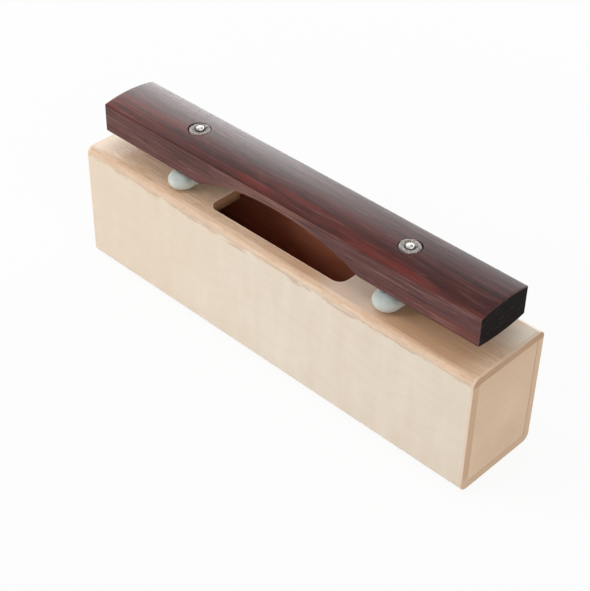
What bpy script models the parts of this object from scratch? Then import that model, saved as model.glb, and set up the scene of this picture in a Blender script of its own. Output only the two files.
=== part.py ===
"""Resonator bar: one tuned rosewood bar floating on soft pads above a slotted wooden sound box.

Units are metres, +Z is up. The origin is the middle of the box's underside, +X runs along the bar
and -Y is the front. The bar and its two washers hang on an empty that slides along Z.
"""

import math

import bmesh
import bpy

# Sound box
BOX_LENGTH = 0.300
BOX_WIDTH = 0.059
BOX_HEIGHT = 0.079
BOARD = 0.005
EDGE_ROUND = 0.0047
INNER_FILLET = 0.002
END_PANEL = 0.005
SLOT_LENGTH = 0.102
SLOT_MARGIN = 0.0105
SLOT_CORNER = 0.006

# Tone bar: straight sides, crowned above and below, thinned in the middle by an arch
BAR_LENGTH = 0.283
BAR_WIDTH = 0.038
BAR_SIDE = 0.0172
CROWN_ABOVE = 0.0022
CROWN_BELOW = 0.0032
BAR_ARRIS = 0.0008
ARCH_LENGTH = 0.122
ARCH_DEPTH = 0.0122

# Supports at the two still points of the bar
NODE_SPACING = 0.160
PAD_OVERHANG = 0.006
PAD_WIDTH = 0.017
PAD_HEIGHT = 0.0084
PAD_SQUARENESS = 3.0
PIN_DIAMETER = 0.003
PIN_POINT = 0.005
PIN_PLAY = 0.002
HEAD_DIAMETER = 0.0058
HEAD_HEIGHT = 0.0017
WASHER_DIAMETER = 0.0134
WASHER_THICKNESS = 0.003
WASHER_ROUND = 0.0006
WASHER_PLAY = 0.0006
WASHER_SINK = 0.0005
BLOCK_LENGTH = 0.024
BLOCK_HEIGHT = 0.016
BLOCK_SIDE_ROOM = 0.0045
BLOCK_COVER = 0.002

# Room left between pieces that meet, how far a cutter runs past what it cuts, and what counts as one point
GAP = 0.0003
OVERRUN = 0.002
SAME_POINT = 0.000003

# Facets on curved surfaces, and the angle in degrees up to which they are shaded as one
SMOOTH_ANGLE = 40
ROUND_SIDES = 32
ARC_STEPS = 8
CROWN_STEPS = 16
ARCH_STEPS = 32
PAD_RINGS = 14

# Sizes and heights that follow from those above
SLOT_WIDTH = BOX_WIDTH - 2 * SLOT_MARGIN
PAD_LENGTH = BAR_WIDTH + 2 * PAD_OVERHANG
RECESS_DIAMETER = WASHER_DIAMETER + 2 * WASHER_PLAY
RECESS_DEPTH = GAP + WASHER_THICKNESS + WASHER_SINK
BAR_HOLE_DIAMETER = PIN_DIAMETER + 2 * PIN_PLAY
BLOCK_WIDTH = BOX_WIDTH - 2 * (BOARD + BLOCK_SIDE_ROOM)
TOP_UNDERSIDE = BOX_HEIGHT - BOARD
BAR_UNDERSIDE = BOX_HEIGHT + GAP + PAD_HEIGHT + GAP
BAR_THICKNESS = CROWN_BELOW + BAR_SIDE + CROWN_ABOVE
BAR_TOP = BAR_UNDERSIDE + BAR_THICKNESS
RECESS_FLOOR = BAR_TOP - RECESS_DEPTH
HEAD_UNDERSIDE = RECESS_FLOOR + GAP + WASHER_THICKNESS + GAP
BLOCK_UNDERSIDE = TOP_UNDERSIDE - GAP - BLOCK_HEIGHT
PIN_TIP = BLOCK_UNDERSIDE + BLOCK_COVER

# Turns a flat outline drawn in X and Y so that it stands in Y and Z, or in X and Z
ALONG_X = (math.pi / 2, 0, math.pi / 2)
ALONG_Y = (math.pi / 2, 0, 0)
ALONG_Z = (0, 0, 0)


def start_scene():
    """Empties the scene and returns the collections for the parts and for their cutters."""
    for old in list(bpy.data.objects):
        bpy.data.objects.remove(old)
    parts = bpy.data.collections.new("resonator_bar")
    cutters = bpy.data.collections.new("cutters")
    for collection in (parts, cutters):
        bpy.context.scene.collection.children.link(collection)
    return parts, cutters


PARTS, CUTTERS = start_scene()


def linear(channel):
    """One sRGB channel from 0 to 255 as the linear value that a shader takes."""
    value = channel / 255
    return value / 12.92 if value <= 0.04045 else ((value + 0.055) / 1.055) ** 2.4


def material(name, red, green, blue, roughness, metallic=0.0):
    made = bpy.data.materials.new(name)
    made.use_nodes = True
    shader = made.node_tree.nodes["Principled BSDF"]
    shader.inputs["Base Color"].default_value = (linear(red), linear(green), linear(blue), 1)
    shader.inputs["Roughness"].default_value = roughness
    shader.inputs["Metallic"].default_value = metallic
    return made


def add_part(name, mesh, finish, location=(0, 0, 0), rotation=ALONG_Z, parent=None):
    part = bpy.data.objects.new(name, mesh)
    part.location = location
    part.rotation_euler = rotation
    part.parent = parent
    mesh.materials.append(finish)
    PARTS.objects.link(part)
    return part


def add_cutter(name, mesh, location=(0, 0, 0), rotation=ALONG_Z, parent=None):
    cutter = bpy.data.objects.new(name, mesh)
    cutter.location = location
    cutter.rotation_euler = rotation
    cutter.parent = parent
    cutter.hide_render = True
    cutter.display_type = "WIRE"
    CUTTERS.objects.link(cutter)
    return cutter


def cut(part, cutter):
    modifier = part.modifiers.new(cutter.name, "BOOLEAN")
    modifier.operation = "DIFFERENCE"
    modifier.solver = "EXACT"
    modifier.object = cutter


def smooth(mesh):
    mesh.shade_smooth()
    mesh.set_sharp_from_angle(angle=math.radians(SMOOTH_ANGLE))


def arc(centre, radius, start, end):
    """Points along an arc, from one angle in degrees to another."""
    points = []
    for step in range(ARC_STEPS + 1):
        angle = math.radians(start + (end - start) * step / ARC_STEPS)
        points.append((centre[0] + radius * math.cos(angle), centre[1] + radius * math.sin(angle)))
    return points


def rounded_rectangle(width, height, radius):
    """Corners run anticlockwise from the upper right, about the middle of the rectangle."""
    across = width / 2 - radius
    up = height / 2 - radius
    points = arc((across, up), radius, 0, 90)
    points += arc((-across, up), radius, 90, 180)
    points += arc((-across, -up), radius, 180, 270)
    points += arc((across, -up), radius, 270, 360)
    return points


def extruded(name, points, depth):
    """A flat outline pushed out equally to both sides of its plane, as one closed mesh."""
    curve = bpy.data.curves.new(name, "CURVE")
    curve.dimensions = "2D"
    curve.fill_mode = "BOTH"
    curve.extrude = depth / 2
    spline = curve.splines.new("POLY")
    spline.points.add(len(points) - 1)
    for point, (across, up) in zip(spline.points, points):
        point.co = (across, up, 0, 1)
    spline.use_cyclic_u = True
    guide = bpy.data.objects.new(name, curve)
    bpy.context.scene.collection.objects.link(guide)
    graph = bpy.context.evaluated_depsgraph_get()
    mesh = bpy.data.meshes.new_from_object(guide.evaluated_get(graph))
    bpy.data.objects.remove(guide)
    bpy.data.curves.remove(curve)
    mesh.name = name
    shape = bmesh.new()
    shape.from_mesh(mesh)
    bmesh.ops.remove_doubles(shape, verts=shape.verts, dist=SAME_POINT)
    bmesh.ops.recalc_face_normals(shape, faces=shape.faces)
    shape.to_mesh(mesh)
    shape.free()
    return mesh


def cylinder(name, diameter, height):
    """A round bar along Z, from 0 up to its height."""
    shape = bmesh.new()
    radius = diameter / 2
    bmesh.ops.create_cone(
        shape, cap_ends=True, segments=ROUND_SIDES, radius1=radius, radius2=radius, depth=height
    )
    bmesh.ops.translate(shape, verts=shape.verts, vec=(0, 0, height / 2))
    mesh = bpy.data.meshes.new(name)
    shape.to_mesh(mesh)
    shape.free()
    return mesh


def block(name, length, width, height):
    """A plain cuboid about its own middle."""
    shape = bmesh.new()
    bmesh.ops.create_cube(shape, size=1)
    bmesh.ops.scale(shape, verts=shape.verts, vec=(length, width, height))
    mesh = bpy.data.meshes.new(name)
    shape.to_mesh(mesh)
    shape.free()
    return mesh


def profile_mesh(name, points, closed):
    """A line of points in the XZ plane, ready to be turned about Z."""
    edges = [(i, i + 1) for i in range(len(points) - 1)]
    if closed:
        edges.append((len(points) - 1, 0))
    mesh = bpy.data.meshes.new(name)
    mesh.from_pydata([(radius, 0, height) for radius, height in points], edges, [])
    return mesh


def turn(part):
    screw = part.modifiers.new("turned", "SCREW")
    screw.steps = ROUND_SIDES
    screw.render_steps = ROUND_SIDES
    screw.use_merge_vertices = True
    screw.merge_threshold = SAME_POINT
    screw.use_smooth_shade = True


def long_board_outline(upper):
    """The cross-section of the top or bottom board, about the box's middle, rounded along both edges."""
    half = BOX_WIDTH / 2
    radius = min(EDGE_ROUND, BOARD - GAP)
    inner = TOP_UNDERSIDE if upper else BOARD
    outer = BOX_HEIGHT if upper else 0
    side = 1 if upper else -1
    points = [(-half, inner), (half, inner)]
    points += arc((half - radius, outer - side * radius), radius, 0, side * 90)
    points += arc((radius - half, outer - side * radius), radius, side * 90, side * 180)
    return points


def side_board_outline(front):
    """The cross-section of a side board, with a fillet into the box's inner corners."""
    outer = -BOX_WIDTH / 2
    low = BOARD + GAP
    high = TOP_UNDERSIDE - GAP
    fillet_middle = outer + BOARD + INNER_FILLET
    points = [(outer, low), (outer, high)]
    points += arc((fillet_middle, high - INNER_FILLET), INNER_FILLET, 90, 180)
    points += arc((fillet_middle, low + INNER_FILLET), INNER_FILLET, 180, 270)
    return points if front else [(-across, up) for across, up in points]


def bar_crown(sagitta, low_side):
    """Height of the bar's rounded face over its width, measured from the face's two edges."""
    radius = (BAR_WIDTH**2 / 4 + sagitta**2) / (2 * sagitta)
    points = []
    for step in range(CROWN_STEPS + 1):
        across = BAR_WIDTH * (step / CROWN_STEPS - 0.5)
        rise = math.sqrt(radius**2 - across**2) - (radius - sagitta)
        points.append((across, -rise if low_side else rise))
    return points


def bar_outline():
    """The bar's cross-section, with its lowest line at height 0."""
    below = [(y, CROWN_BELOW + z) for y, z in bar_crown(CROWN_BELOW, True)]
    above = [(y, CROWN_BELOW + BAR_SIDE + z) for y, z in bar_crown(CROWN_ABOVE, False)]
    return below + above[::-1]


def arch_outline():
    """The parabola that thins the bar, run on below the bar's lowest line."""
    floor = -CROWN_BELOW - OVERRUN
    reach = ARCH_LENGTH / 2 * math.sqrt(1 - floor / ARCH_DEPTH)
    points = []
    for step in range(ARCH_STEPS + 1):
        along = reach * (1 - 2 * step / ARCH_STEPS)
        points.append((along, CROWN_BELOW + ARCH_DEPTH * (1 - (2 * along / ARCH_LENGTH) ** 2)))
    return points


def squared_off(value):
    """Pushes a cosine or sine outwards, which turns an ellipse into an oblong with full corners."""
    return math.copysign(abs(value) ** (2 / PAD_SQUARENESS), value)


def pad_mesh(name):
    """A soft oblong cushion across the box, flattened above and below, standing on height 0."""
    shape = bmesh.new()
    bmesh.ops.create_uvsphere(shape, u_segments=ROUND_SIDES, v_segments=PAD_RINGS, radius=1)
    for vertex in shape.verts:
        x, y, z = vertex.co
        bearing = math.atan2(y, x)
        spread = squared_off(math.hypot(x, y))
        vertex.co.x = PAD_WIDTH / 2 * squared_off(math.cos(bearing)) * spread
        vertex.co.y = PAD_LENGTH / 2 * squared_off(math.sin(bearing)) * spread
        vertex.co.z = PAD_HEIGHT / 2 * (1 + squared_off(z))
    mesh = bpy.data.meshes.new(name)
    shape.to_mesh(mesh)
    shape.free()
    smooth(mesh)
    return mesh


def pin_profile():
    """Dome, underside of the head, shank and point, from the top down, about the head's underside."""
    head = HEAD_DIAMETER / 2
    shank = PIN_DIAMETER / 2
    tip = PIN_TIP - HEAD_UNDERSIDE
    points = []
    for step in range(ARC_STEPS + 1):
        angle = math.pi / 2 * step / ARC_STEPS
        points.append((head * math.sin(angle), HEAD_HEIGHT * math.cos(angle)))
    points += [(shank, 0), (shank, tip + PIN_POINT), (0, tip)]
    return points


def washer_profile():
    """A ring's section with rounded edges, its underside at height 0."""
    inner = PIN_DIAMETER / 2 + GAP
    outer = WASHER_DIAMETER / 2
    points = [(inner, 0), (inner, WASHER_THICKNESS)]
    points += arc((outer - WASHER_ROUND, WASHER_THICKNESS - WASHER_ROUND), WASHER_ROUND, 90, 0)
    points += arc((outer - WASHER_ROUND, WASHER_ROUND), WASHER_ROUND, 0, -90)
    return points


def build_box():
    """Four long boards and two end panels, with the sound slot through the top."""
    beech = material("box_beech", 214, 184, 150, 0.55)
    maple = material("box_maple", 225, 212, 192, 0.5)
    top_mesh = extruded("box_top", long_board_outline(True), BOX_LENGTH)
    top = add_part("box_top", top_mesh, beech, rotation=ALONG_X)
    slot = rounded_rectangle(SLOT_LENGTH, SLOT_WIDTH, SLOT_CORNER)
    slot_mesh = extruded("slot_cutter", slot, BOARD + 2 * OVERRUN)
    cut(top, add_cutter("slot_cutter", slot_mesh, (0, 0, TOP_UNDERSIDE + BOARD / 2)))
    bottom_mesh = extruded("box_bottom", long_board_outline(False), BOX_LENGTH)
    add_part("box_bottom", bottom_mesh, beech, rotation=ALONG_X)
    for name, front in (("box_front", True), ("box_rear", False)):
        board = extruded(name, side_board_outline(front), BOX_LENGTH)
        add_part(name, board, maple, rotation=ALONG_X)
    clear = 2 * (BOARD + GAP)
    panel = rounded_rectangle(BOX_WIDTH - clear, BOX_HEIGHT - clear, INNER_FILLET - GAP)
    for name, side in (("left_end_panel", -1), ("right_end_panel", 1)):
        middle = side * (BOX_LENGTH - END_PANEL) / 2
        mesh = extruded(name, panel, END_PANEL)
        add_part(name, mesh, maple, (middle, 0, BOX_HEIGHT / 2), ALONG_X)
    return top


def build_bar(carrier):
    """The tone bar on its sliding carrier, arched below and counterbored at its two holes."""
    rosewood = material("rosewood", 92, 58, 54, 0.35)
    bar_mesh = extruded("tone_bar", bar_outline(), BAR_LENGTH)
    bar = add_part("tone_bar", bar_mesh, rosewood, rotation=ALONG_X, parent=carrier)
    arris = bar.modifiers.new("arris", "BEVEL")
    arris.width = BAR_ARRIS
    arris.segments = 2
    arris.limit_method = "ANGLE"
    arris.angle_limit = math.radians(SMOOTH_ANGLE)
    arch = extruded("arch_cutter", arch_outline(), BAR_WIDTH + 2 * OVERRUN)
    cut(bar, add_cutter("arch_cutter", arch, rotation=ALONG_Y, parent=carrier))
    return bar


def build_support(name, along, top, bar, carrier):
    """Pad, pin, washer and glued block at one still point of the bar, with the holes for the pin."""
    silicone = material(name + "_silicone", 205, 209, 203, 0.4)
    steel = material(name + "_steel", 205, 203, 200, 0.25, 1.0)
    felt = material(name + "_felt", 176, 168, 160, 0.95)
    spruce = material(name + "_spruce", 206, 176, 134, 0.7)

    bore_length = HEAD_UNDERSIDE - PIN_TIP + OVERRUN
    bore_mesh = cylinder(name + "_pin_cutter", PIN_DIAMETER + 2 * GAP, bore_length)
    bore = add_cutter(name + "_pin_cutter", bore_mesh, (along, 0, PIN_TIP - GAP))

    pad = add_part(name + "_pad", pad_mesh(name + "_pad"), silicone, (along, 0, BOX_HEIGHT + GAP))
    holder_mesh = block(name + "_pin_block", BLOCK_LENGTH, BLOCK_WIDTH, BLOCK_HEIGHT)
    holder_middle = BLOCK_UNDERSIDE + BLOCK_HEIGHT / 2
    holder = add_part(name + "_pin_block", holder_mesh, spruce, (along, 0, holder_middle))
    for part in (pad, holder, top):
        cut(part, bore)

    pin_mesh = profile_mesh(name + "_pin", pin_profile(), False)
    turn(add_part(name + "_pin", pin_mesh, steel, (along, 0, HEAD_UNDERSIDE)))

    recess_mesh = cylinder(name + "_recess_cutter", RECESS_DIAMETER, RECESS_DEPTH + OVERRUN)
    recess_height = BAR_THICKNESS - RECESS_DEPTH
    cut(bar, add_cutter(name + "_recess_cutter", recess_mesh, (along, 0, recess_height), parent=carrier))
    hole_mesh = cylinder(name + "_hole_cutter", BAR_HOLE_DIAMETER, BAR_THICKNESS + OVERRUN)
    cut(bar, add_cutter(name + "_hole_cutter", hole_mesh, (along, 0, -OVERRUN / 2), parent=carrier))
    washer_mesh = profile_mesh(name + "_washer", washer_profile(), True)
    turn(add_part(name + "_washer", washer_mesh, felt, (along, 0, recess_height + GAP), parent=carrier))


def build():
    carrier = bpy.data.objects.new("bar_carrier", None)
    carrier.location = (0, 0, BAR_UNDERSIDE)
    PARTS.objects.link(carrier)
    top = build_box()
    bar = build_bar(carrier)
    for name, side in (("left", -1), ("right", 1)):
        build_support(name, side * NODE_SPACING / 2, top, bar, carrier)
    bpy.context.view_layer.update()


build()
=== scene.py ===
# %% [markdown]
# # A resonator bar, dressed
# A resonator bar is one note of a big wooden instrument: a tuned rosewood bar that floats on two soft pads
# above a slotted box. The box holds just enough air to ring with the bar. The CAD model already has every
# piece at its real size and place, so this lesson only gives the pieces the shapes and finishes that a
# camera would see. It starts by loading that model.

# %% Load the frame
import math

import bmesh
import bpy
from mathutils import Matrix, Vector


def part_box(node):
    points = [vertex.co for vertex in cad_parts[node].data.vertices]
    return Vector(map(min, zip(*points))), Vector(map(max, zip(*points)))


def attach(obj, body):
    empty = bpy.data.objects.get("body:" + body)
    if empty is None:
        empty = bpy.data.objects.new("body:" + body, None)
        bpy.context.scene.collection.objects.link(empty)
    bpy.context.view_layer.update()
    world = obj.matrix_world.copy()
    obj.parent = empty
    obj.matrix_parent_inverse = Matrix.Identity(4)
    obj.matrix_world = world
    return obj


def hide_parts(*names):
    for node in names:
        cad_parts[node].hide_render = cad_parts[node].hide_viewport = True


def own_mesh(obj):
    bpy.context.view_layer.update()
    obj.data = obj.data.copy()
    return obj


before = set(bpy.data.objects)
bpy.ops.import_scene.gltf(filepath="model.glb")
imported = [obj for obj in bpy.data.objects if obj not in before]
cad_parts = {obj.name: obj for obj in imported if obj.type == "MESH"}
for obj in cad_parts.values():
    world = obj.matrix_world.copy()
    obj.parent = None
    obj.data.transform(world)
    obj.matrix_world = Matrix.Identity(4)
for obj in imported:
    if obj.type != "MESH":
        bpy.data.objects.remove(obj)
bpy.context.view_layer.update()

print("CAD nodes:", sorted(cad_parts))

# %% [markdown]
# ## The sizes that the pieces share
# Every new piece takes the place of a CAD solid, so it is drawn from the same numbers, in metres: X runs
# along the bar, Z is up, and -Y is the front. Heights that follow from others are worked out and not typed
# in twice.

# %% Sizes of the box and the bar
BOX_LENGTH, BOX_WIDTH, BOX_HEIGHT = 0.300, 0.059, 0.079
BOARD, EDGE_ROUND, INNER_FILLET = 0.005, 0.0047, 0.002
BAR_LENGTH, BAR_WIDTH, BAR_SIDE = 0.2846, 0.0384, 0.0181
CROWN_ABOVE, CROWN_BELOW, BAR_RAISED = 0.0022, 0.0015, 0.0008
STILL_POINT = 0.080
SIDES = {"left": -1, "right": 1}
BAR_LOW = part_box("tone_bar")[0].z + BAR_RAISED
BAR_HIGH = BAR_LOW + CROWN_BELOW + BAR_SIDE + CROWN_ABOVE
print(f"The bar lies from {BAR_LOW * 1000:.1f} to {BAR_HIGH * 1000:.1f} mm above the table")

# %% [markdown]
# ## The camera
# A camera in Blender looks along its own -Z, so its matrix is three directions and a place: right, up, and
# back towards the photographer. The angles come from matching the box's straight edges with those in the
# photograph: a long lens, 43 degrees round to the right and 39 degrees above the table.

# %% Set up the camera
def place_camera(azimuth, elevation, roll, distance, aside, raised):
    turn, tilt, lean = map(math.radians, (azimuth, elevation, roll))
    back = Vector((math.sin(turn) * math.cos(tilt), -math.cos(turn) * math.cos(tilt), math.sin(tilt)))
    right = Vector((math.cos(turn), math.sin(turn), 0))
    up = back.cross(right)
    right, up = right * math.cos(lean) + up * math.sin(lean), up * math.cos(lean) - right * math.sin(lean)
    matrix = Matrix((right, up, back)).transposed().to_4x4()
    matrix.translation = right * aside + up * raised + back * distance
    return matrix


scene = bpy.context.scene
camera = bpy.data.objects.new("camera", bpy.data.cameras.new("camera"))
camera.data.lens = 88.33
camera.matrix_world = place_camera(azimuth=43.34, elevation=38.69, roll=1.25, distance=0.86645,
                                   aside=-0.00059, raised=0.02517)
scene.collection.objects.link(camera)
scene.camera = camera
print("The camera stands at", [round(v, 3) for v in camera.matrix_world.translation])

# %% [markdown]
# ## Helpers for wiring nodes
# Finishes and Geometry Nodes are both trees of nodes. One helper adds a node and fills its inputs: an input
# is given a plain value, or a wire from another node. Adding to a wire, or multiplying it, puts in a Math
# node, so that a pattern reads like a formula.

# %% Wire nodes
class Wire:
    """A node's first output, or another that is picked in square brackets. Sums with it add Math nodes."""

    def __init__(self, tree, node, output=0):
        self.tree, self.node, self.output = tree, node, output

    def __getitem__(self, output):
        return Wire(self.tree, self.node, output)

    def plug(self, socket):
        self.tree.links.new(self.node.outputs[self.output], socket)

    def maths(self, operation, *values):
        return put(self.tree, "ShaderNodeMath", dict(enumerate(values)), operation=operation)

    def __add__(self, other):
        return self.maths("ADD", self, other)

    def __sub__(self, other):
        return self.maths("SUBTRACT", self, other)

    def __rsub__(self, other):
        return self.maths("SUBTRACT", other, self)

    def __mul__(self, other):
        return self.maths("MULTIPLY", self, other)

    def __truediv__(self, other):
        return self.maths("DIVIDE", self, other)

    def __rtruediv__(self, other):
        return self.maths("DIVIDE", other, self)

    def __abs__(self):
        return self.maths("ABSOLUTE", self)


def put(tree, kind, inputs=None, **settings):
    node = tree.nodes.new(kind)
    for name, value in settings.items():
        setattr(node, name, value)
    for key, value in (inputs or {}).items():
        if isinstance(value, Wire):
            value.plug(node.inputs[key])
        else:
            node.inputs[key].default_value = value
    return Wire(tree, node)


print("Nodes can be wired")

# %% [markdown]
# Some small sums come up in nearly every tree: the three numbers of a place, the highest of some values, and
# a smooth step from one value to another, which gives a pattern its soft borders.

# %% Sums that come up often
def vectors(operation, first, *others):
    return put(first.tree, "ShaderNodeVectorMath", dict(enumerate((first, *others))), operation=operation)


def axes(place):
    """The three numbers of a place."""
    split = put(place.tree, "ShaderNodeSeparateXYZ", {0: place})
    return split["X"], split["Y"], split["Z"]


def point(tree, x=0.0, y=0.0, z=0.0):
    return put(tree, "ShaderNodeCombineXYZ", {0: x, 1: y, 2: z})


def most(first, *others):
    """The highest of some values."""
    for other in others:
        first = first.maths("MAXIMUM", first, other)
    return first


def between(value, low, high, start=0.0, end=1.0, step="SMOOTHSTEP"):
    """The start up to low, the end from high on, and a smooth step in the middle."""
    inputs = {"Value": value, "From Min": low, "From Max": high, "To Min": start, "To Max": end}
    return put(value.tree, "ShaderNodeMapRange", inputs, interpolation_type=step)


print("Wiring helpers are ready")

# %% [markdown]
# ## The studio
# The photograph is taken on white, with soft light. A white floor that is only lit would need strong lamps,
# and these would bleach the pale wood. So the floor and the world show plain white to the camera and in
# reflections, while the light that they throw on the object stays at a plain level. High up, a studio is
# dark between its lamps, and polished dark wood shows that: so in reflections the world is white up to a low
# height only and gets dimmer above.

# %% White world
SKY_LIGHT, DIM_ABOVE, DIM_START, DIM_END = 0.36, 0.12, 0.40, 0.70


def world_strength(tree):
    """White where the world is seen, dimmer high up in reflections, and a plain level as light."""
    path = put(tree, "ShaderNodeLightPath")
    height = axes(put(tree, "ShaderNodeTexCoord")["Generated"])[2]
    mirrored = between(height, DIM_START, DIM_END, 1.0, DIM_ABOVE)
    lit = path["Is Glossy Ray"] * (mirrored - SKY_LIGHT) + SKY_LIGHT
    return most(lit, path["Is Camera Ray"], path["Is Transmission Ray"])


scene.view_settings.view_transform = "Standard"
world = bpy.data.worlds.new("studio")
world.use_nodes = True
scene.world = world
sky = world.node_tree.nodes["Background"]
sky.inputs["Color"].default_value = (1, 1, 1, 1)
world_strength(world.node_tree).plug(sky.inputs["Strength"])
print("The world has", len(world.node_tree.nodes), "nodes")

# %% [markdown]
# The floor is one large face, a hair below the object. It mixes a matt shader, which takes shadows, with
# plain white. A share of the matt shader is left in near the object, which keeps its soft shadow.

# %% White floor
FLOOR_PALE, FLOOR_WHITE, SHADOW_NEAR, SHADOW_FAR = 0.80, 0.91, 0.25, 0.80
FLOOR_HALF, FLOOR_DROP = 4, 0.0002


def seen_directly(tree):
    """1 for rays that show a thing as it is: from the camera, in a mirror or through glass."""
    path = put(tree, "ShaderNodeLightPath")
    return most(path["Is Camera Ray"], path["Is Glossy Ray"], path["Is Transmission Ray"])


corners = [(x * FLOOR_HALF, y * FLOOR_HALF) for x, y in ((-1, -1), (1, -1), (1, 1), (-1, 1))]
floor_mesh = bpy.data.meshes.new("floor")
floor_mesh.from_pydata([(x, y, -FLOOR_DROP) for x, y in corners], [], [(0, 1, 2, 3)])
floor = bpy.data.objects.new("floor", floor_mesh)
scene.collection.objects.link(floor)
pale_floor = bpy.data.materials.new("pale_floor")
pale_floor.use_nodes = True
wires = pale_floor.node_tree
wires.nodes.clear()
matt = put(wires, "ShaderNodeBsdfDiffuse", {"Color": (FLOOR_PALE, FLOOR_PALE, FLOOR_PALE, 1)})
white = put(wires, "ShaderNodeEmission", {"Color": (1, 1, 1, 1), "Strength": 1.0})
away = vectors("LENGTH", put(wires, "ShaderNodeTexCoord")["Object"])["Value"]
share = seen_directly(wires) * between(away, SHADOW_NEAR, SHADOW_FAR, FLOOR_WHITE, 1.0, "LINEAR")
mixed = put(wires, "ShaderNodeMixShader", {0: share, 1: matt, 2: white})
put(wires, "ShaderNodeOutputMaterial", {"Surface": mixed})
floor_mesh.materials.append(pale_floor)
print("The floor is", floor.dimensions.x, "m wide")

# %% [markdown]
# Six large soft lamps do the rest. One hangs overhead: it lights the lid, leaves soft shade under the bar
# and fills the domed pin heads. One stands low on the right, for the end of the box. A low one behind draws
# the white sheen along the lid's far edge. A wide strip behind and to the left draws the pale sheen along
# the far side of the bar's crown, which is strongest at the left end, because there the crown mirrors a
# lower part of the studio. These two are only there to be mirrored: as light, they would bleach the back and
# the left end of the box. The last two are the other way round, and give light that is kept out of
# reflections: a window to the left in front, whose light passes under the bar, brightens the left side of
# each pad and leaves shade on its right, and a weak fill for the back.

# %% Hang the lamps
def soft_lamp(name, toward, distance, wide, high, watts, **visibility):
    lamp = bpy.data.lights.new(name, "AREA")
    lamp.shape = "RECTANGLE"
    lamp.size, lamp.size_y, lamp.energy = wide, high, watts
    hung = bpy.data.objects.new(name, lamp)
    direction = Vector(toward).normalized()
    hung.location = direction * distance + Vector((0, 0, BOX_HEIGHT))
    hung.rotation_euler = direction.to_track_quat("Z", "Y").to_euler()
    hung.visible_camera = False
    for kind, seen in visibility.items():
        setattr(hung, kind, seen)
    scene.collection.objects.link(hung)


soft_lamp("overhead_box", (-0.15, 0.0, 1.0), 1.3, 0.8, 0.8, 4.2)
soft_lamp("end_lamp", (0.93, -0.22, 0.28), 1.5, 1.2, 0.7, 7.0)
soft_lamp("back_wall", (-0.30, 0.95, 0.11), 1.5, 1.8, 0.28, 10.5, visible_diffuse=False)
soft_lamp("back_strip", (-0.92, 0.40, 0.40), 1.5, 1.6, 0.80, 12.2, visible_diffuse=False)
soft_lamp("low_window", (-0.68, -0.60, 0.42), 1.5, 1.2, 0.7, 15.8, visible_glossy=False)
soft_lamp("back_fill", (0.10, 0.97, 0.22), 1.5, 1.2, 0.4, 9.0, visible_glossy=False)

# %% [markdown]
# ## Wood, in numbers
# A board's figure is a slice through a tree. The tree's growth layers are tubes round its heart, and the
# heart runs along the board, so a layer's number is the distance from a line along X, divided by the width
# of a layer. A slow noise makes that distance wander, and the board's faces then show wavy lines and pointed
# arches, its ends show arcs, and the two always meet at the edges. Fibres are a noise that is stretched
# along X.

# %% Helpers for patterns
def paint(red, green, blue):
    """A colour as a picture shows it, from 0 to 255, turned into the linear light that shaders use."""
    values = [v / 255 for v in (red, green, blue)]
    return [v / 12.92 if v <= 0.04045 else ((v + 0.055) / 1.055) ** 2.4 for v in values] + [1.0]


def noise(place, patch, detail=2.0, rough=0.5, kind="Fac"):
    """A cloudy noise whose patches are about as long, wide and high as patch says, in metres."""
    sizes = patch if isinstance(patch, tuple) else (patch, patch, patch)
    mapped = put(place.tree, "ShaderNodeMapping", {"Vector": place, "Scale": [1 / size for size in sizes]})
    inputs = {"Vector": mapped, "Scale": 1.0, "Detail": detail, "Roughness": rough}
    return put(place.tree, "ShaderNodeTexNoise", inputs)[kind]


def growth(place, heart, wander, layer):
    """The number of the growth layer at each point, for a heart that lies at that Y and Z."""
    drift = noise(place, (0.11, 0.035, 0.035), 2.0, 0.45, "Color")
    drift = vectors("SUBTRACT", drift, (0.5, 0.5, 0.5))
    moved = vectors("MULTIPLY_ADD", drift, (0.0, wander, wander), place)
    away = vectors("MULTIPLY", vectors("SUBTRACT", moved, (0, *heart)), (0, 1, 1))
    return vectors("LENGTH", away)["Value"] / layer


def layer_lines(place, heart, wander, layer, start):
    """A line in each growth layer, which begins at that share of the layer and is strongest at its end."""
    layers = growth(place, heart, wander, layer)
    return between(layers.maths("FRACT", layers), start, 1.0)


def ramp(value, *stops):
    """Turns a number from 0 to 1 into a colour, by stops of a position and a colour."""
    made = put(value.tree, "ShaderNodeValToRGB", {"Fac": value})
    line = made.node.color_ramp.elements
    while len(line) < len(stops):
        line.new(0.5)
    for element, (position, colour) in zip(line, stops):
        element.position = position
        element.color = paint(*colour)
    return made["Color"]


print("Pattern helpers are ready")

# %% [markdown]
# ## Finishes in coats
# A finish starts from a first colour and lays coats over it, each by a share that is a pattern or a number.
# The result is wired to the shader, together with a fine relief that only the light sees: a Bump node is
# enough for pores and fibres, which are too small to be modelled.

# %% Helpers for finishes
def layered(colour, *coats):
    """Lays coats over a colour. A coat is a share and a colour; a colour is a pattern or three numbers."""
    for share, top in coats:
        tree = next(value.tree for value in (colour, share) if isinstance(value, Wire))
        under, top = (paint(*each) if isinstance(each, tuple) else each for each in (colour, top))
        sockets = {0: share, 6: under, 7: top}
        colour = put(tree, "ShaderNodeMix", sockets, data_type="RGBA", blend_type="MIX")[2]
    return colour


def finish(name, **constants):
    """A new material and its shader, with the object's own coordinates for its patterns."""
    made = bpy.data.materials.new(name)
    made.use_nodes = True
    shader = made.node_tree.nodes["Principled BSDF"]
    for socket, value in constants.items():
        shader.inputs[socket.replace("_", " ")].default_value = value
    return made, shader, put(made.node_tree, "ShaderNodeTexCoord")["Object"]


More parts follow.
